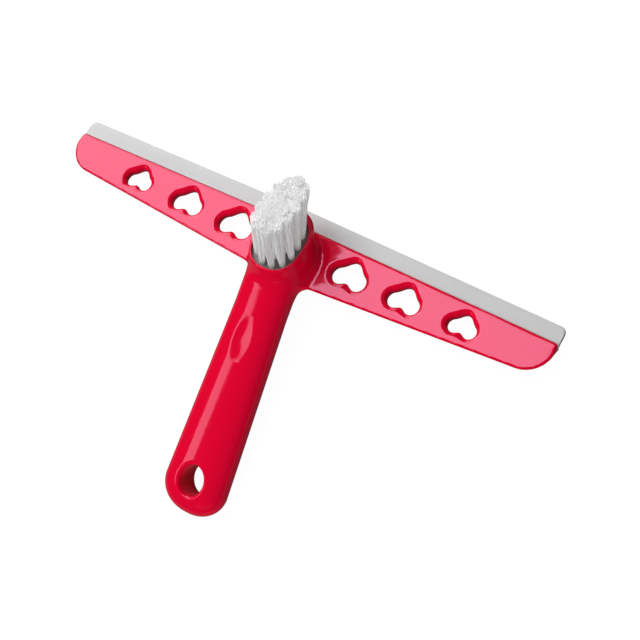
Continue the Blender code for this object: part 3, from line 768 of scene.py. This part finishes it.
def drift_group():
    """Shared by the plastics, the rubber and the steel: slow drift and fine grain over the
    surface. Puts out a colour that wanders between two tones, a roughness mask and a height."""
    group = bpy.data.node_groups.new("surface_drift", "ShaderNodeTree")
    colour, number = "NodeSocketColor", "NodeSocketFloat"
    for title, side, kind in (
        ("Tone A", "INPUT", colour),
        ("Tone B", "INPUT", colour),
        ("Drift Scale", "INPUT", number),
        ("Grain Scale", "INPUT", number),
        ("Roughness Low", "INPUT", number),
        ("Roughness High", "INPUT", number),
        ("Colour", "OUTPUT", colour),
        ("Roughness", "OUTPUT", number),
        ("Height", "OUTPUT", number),
    ):
        group.interface.new_socket(name=title, in_out=side, socket_type=kind)
    nodes, links = group.nodes, group.links
    entry, leave = add(nodes, "NodeGroupInput"), add(nodes, "NodeGroupOutput")
    place = add(nodes, "ShaderNodeTexCoord")
    slow, fine = add(nodes, "ShaderNodeTexNoise"), add(nodes, "ShaderNodeTexNoise")
    set_inputs(slow, {"Detail": 2.0})
    set_inputs(fine, {"Detail": 4.0})
    links.new(place.outputs["Object"], slow.inputs["Vector"])
    links.new(place.outputs["Object"], fine.inputs["Vector"])
    links.new(entry.outputs["Drift Scale"], slow.inputs["Scale"])
    links.new(entry.outputs["Grain Scale"], fine.inputs["Scale"])
    tone = add(nodes, "ShaderNodeMix", data_type="RGBA")
    links.new(slow.outputs["Fac"], tone.inputs["Factor"])
    links.new(entry.outputs["Tone A"], tone.inputs["A"])
    links.new(entry.outputs["Tone B"], tone.inputs["B"])
    links.new(tone.outputs["Result"], leave.inputs["Colour"])
    rough = add(nodes, "ShaderNodeMix", data_type="FLOAT")
    links.new(slow.outputs["Fac"], rough.inputs["Factor"])
    links.new(entry.outputs["Roughness Low"], rough.inputs["A"])
    links.new(entry.outputs["Roughness High"], rough.inputs["B"])
    links.new(rough.outputs["Result"], leave.inputs["Roughness"])
    links.new(fine.outputs["Fac"], leave.inputs["Height"])
    return group


def drifting(name, group, tones, scales, roughness, grain_depth):
    """A material that takes its colour, roughness and fine bump from the shared group. The
    scales are the drift's and the grain's, and the depth is in metres."""
    made, nodes, links, shader = new_material(name)
    drift = add(nodes, "ShaderNodeGroup", node_tree=group)
    set_inputs(drift, {
        "Tone A": (*tones[0], 1),
        "Tone B": (*tones[1], 1),
        "Drift Scale": scales[0],
        "Grain Scale": scales[1],
        "Roughness Low": roughness[0],
        "Roughness High": roughness[1],
    })
    links.new(drift.outputs["Colour"], shader.inputs["Base Color"])
    links.new(drift.outputs["Roughness"], shader.inputs["Roughness"])
    if grain_depth:
        relief = add(nodes, "ShaderNodeBump")
        set_inputs(relief, {"Distance": grain_depth, "Strength": 1.0})
        links.new(drift.outputs["Height"], relief.inputs["Height"])
        links.new(relief.outputs["Normal"], shader.inputs["Normal"])
    return made, shader


def red_plastic(group):
    """Polished red plastic, whose reflections are a little pink."""
    made, shader = drifting(
        "moulded_red_plastic",
        group,
        tones=((0.74, 0.001, 0.03), (0.69, 0.001, 0.027)),
        scales=(30.0, 600.0),
        roughness=(0.07, 0.1),
        grain_depth=0.0,
    )
    set_inputs(shader, {"IOR": 1.55, "Specular Tint": (1.0, 0.58, 0.88, 1.0)})
    return made


def grey_rubber(group):
    """Light grey rubber with a satin face."""
    made, _ = drifting(
        "grey_blade_rubber",
        group,
        tones=((0.57, 0.575, 0.575), (0.54, 0.545, 0.545)),
        scales=(60.0, 1500.0),
        roughness=(0.42, 0.55),
        grain_depth=0.00002,
    )
    return made


def block_painted_shade(group):
    """The block's light plastic with painted shade: its dark grey tones stand in for the shade
    deep between the bristles.
    """
    made, _ = drifting(
        "brush_block_painted_shade",
        group,
        # Painted shade: dark grey tones for the shade between the bristles, not the block's own
        # colour
        tones=((0.24, 0.24, 0.24), (0.2, 0.2, 0.2)),
        scales=(200.0, 2500.0),
        roughness=(0.4, 0.5),
        grain_depth=0.00002,
    )
    return made


def anchor_steel(group):
    """Plain strip steel of the anchors in the block."""
    made, shader = drifting(
        "anchor_strip_steel",
        group,
        tones=((0.6, 0.58, 0.5), (0.5, 0.48, 0.42)),
        scales=(500.0, 4000.0),
        roughness=(0.3, 0.4),
        grain_depth=0.000005,
    )
    set_inputs(shader, {"Metallic": 1.0})
    return made


def nylon():
    """White nylon: each filament has its own tone, and painted shade makes the roots a touch
    darker than the tips, for the shade deep in the brush. Painted light: a slight glow stands in
    for the light that passes through so many clear filaments."""
    made, nodes, links, shader = new_material("white_nylon_filament")
    strand = add(nodes, "ShaderNodeAttribute", attribute_name="strand")
    height = add(nodes, "ShaderNodeAttribute", attribute_name="height")
    tone = add(nodes, "ShaderNodeMix", data_type="RGBA")
    set_inputs(tone, {"A": (0.91, 0.91, 0.91, 1), "B": (0.975, 0.975, 0.975, 1)})
    links.new(strand.outputs["Fac"], tone.inputs["Factor"])
    # Painted shade: the roots get a darker tone than the tips
    ends = add(nodes, "ShaderNodeMix", data_type="RGBA")
    set_inputs(ends, {"A": (0.86, 0.86, 0.855, 1)})
    links.new(height.outputs["Fac"], ends.inputs["Factor"])
    links.new(tone.outputs["Result"], ends.inputs["B"])
    links.new(ends.outputs["Result"], shader.inputs["Base Color"])
    # Painted light: the faint white emission brightens the filaments
    set_inputs(shader, {
        "Roughness": 0.35,
        "Subsurface Weight": 0.8,
        "Subsurface Radius": (1.0, 1.0, 1.0),
        "Subsurface Scale": 0.002,
        "Emission Color": (1, 1, 1, 1),
        "Emission Strength": 0.07,
    })
    return made


def lamp(name, spot, target, size, radiance, long_side=(1, 0, 0), mirrored=True):
    """A soft rectangular light at a place of the crossbar's frame in metres, turned to a target
    there, with its first side along long_side. Its power is radiance times pi times area. A lamp
    that isn't mirrored gives light but no reflection of itself."""
    data = bpy.data.lights.new(name, "AREA")
    data.shape = "RECTANGLE"
    data.size, data.size_y = size
    data.energy = radiance * math.pi * size[0] * size[1]
    made = bpy.data.objects.new(name, data)
    bpy.context.scene.collection.objects.link(made)
    back = (Vector(spot) - Vector(target)).normalized()
    first = (Vector(long_side) - back * back.dot(Vector(long_side))).normalized()
    made.visible_glossy = mirrored
    turn = Matrix((first, back.cross(first), back)).transposed().to_4x4()
    made.matrix_world = TO_SCENE @ Matrix.Translation(spot) @ turn


def ray_strength(nodes, links, as_light, in_gloss):
    """A socket that is 1 to the camera, in_gloss to reflections and as_light to other rays: the
    larger of the camera's flag and the line from as_light to in_gloss over the gloss flag."""
    path = add(nodes, "ShaderNodeLightPath")
    line = add(nodes, "ShaderNodeMath", operation="MULTIPLY_ADD")
    set_inputs(line, {1: in_gloss - as_light, 2: as_light})
    links.new(path.outputs["Is Glossy Ray"], line.inputs[0])
    larger = add(nodes, "ShaderNodeMath", operation="MAXIMUM")
    links.new(path.outputs["Is Camera Ray"], larger.inputs[0])
    links.new(line.outputs[0], larger.inputs[1])
    return larger.outputs[0]


def build_floor():
    """A plain floor that keeps the shadow. It glows to the camera, so that it blends into the
    white background, and faintly in reflections."""
    mesh = bpy.data.meshes.new("floor")
    half = FLOOR_HALF
    corners = [(-half, -half, 0), (half, -half, 0), (half, half, 0), (-half, half, 0)]
    mesh.from_pydata(corners, [], [(0, 1, 2, 3)])
    made = bpy.data.objects.new("floor", mesh)
    bpy.context.scene.collection.objects.link(made)
    paint, nodes, links, shader = new_material("floor_paint")
    set_inputs(shader, {
        "Base Color": (FLOOR_TONE, FLOOR_TONE, FLOOR_TONE, 1),
        "Roughness": 0.9,
        "Specular IOR Level": 0.0,
        "Emission Color": (1, 1, 1, 1),
    })
    glow = add(nodes, "ShaderNodeMath", operation="MULTIPLY")
    set_inputs(glow, {1: FLOOR_GLOW})
    seen = ray_strength(nodes, links, FLOOR_GLOW_AS_LIGHT, FLOOR_GLOW_IN_GLOSS)
    links.new(seen, glow.inputs[0])
    links.new(glow.outputs[0], shader.inputs["Emission Strength"])
    mesh.materials.append(paint)


def build_world():
    """White to the camera, a soft grey as light, and nearly dark in reflections, so that the
    gloss shows only the lamps."""
    world = bpy.data.worlds.new("studio")
    bpy.context.scene.world = world
    world.use_nodes = True
    nodes, links = world.node_tree.nodes, world.node_tree.links
    sky = nodes["Background"]
    set_inputs(sky, {"Color": (1, 1, 1, 1)})
    strength = ray_strength(nodes, links, WORLD_AS_LIGHT, WORLD_IN_GLOSS)
    links.new(strength, sky.inputs["Strength"])


def build_camera():
    """The photograph's camera, placed and turned by its fitted place and directions."""
    data = bpy.data.cameras.new("photo_camera")
    data.sensor_width = CAMERA_SENSOR
    data.lens = CAMERA_LENS
    data.clip_start = 0.01
    made = bpy.data.objects.new("photo_camera", data)
    bpy.context.scene.collection.objects.link(made)
    axes = (Vector(CAMERA_RIGHT), -Vector(CAMERA_DOWN), -Vector(CAMERA_FORWARD))
    turn = Matrix(axes).transposed().to_4x4()
    made.matrix_world = TO_SCENE @ Matrix.Translation(CAMERA_PLACE) @ turn
    bpy.context.scene.camera = made


def dress(node, material):
    """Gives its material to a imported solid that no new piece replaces."""
    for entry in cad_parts[node].material_slots:
        entry.material = material


drift = drift_group()
build_moulding(red_plastic(drift))
build_blade(grey_rubber(drift))
filament = nylon()
places = tuft_places()
for number, place in enumerate(places, 1):
    build_tuft(number, place, filament)
build_block(block_painted_shade(drift))
steel = anchor_steel(drift)
for number in range(1, len(places) + 1):
    dress(f"tuft_anchor_{number:02d}", steel)

build_floor()
build_world()
lamp("window", spot=(-0.60, 0.26, 1.10), target=(0, 0, 0), size=(1.0, 0.55), radiance=5.4)
lamp(
    "strip",
    spot=(-0.609, -0.597, 0.612),
    target=(0, -0.075, -0.01),
    size=(0.37, 0.22),
    radiance=2.6,
    long_side=(0.4, 0.65, 0.65),
)
lamp("key", spot=(-1.05, 0.77, 0.63), target=(0, -0.03, 0), size=(1.0, 1.0), radiance=3.7)
lamp(
    "fill",
    spot=(0.52, 0.90, 1.12),
    target=(0, -0.03, 0),
    size=(1.2, 1.2),
    radiance=0.2,
    mirrored=False,
)
lamp(
    "front",
    spot=(0.3, -1.12, 0.17),
    target=(0, -0.03, 0.01),
    size=(1.0, 0.3),
    radiance=9.0,
    mirrored=False,
)
build_camera()
bpy.context.scene.view_settings.view_transform = "Standard"
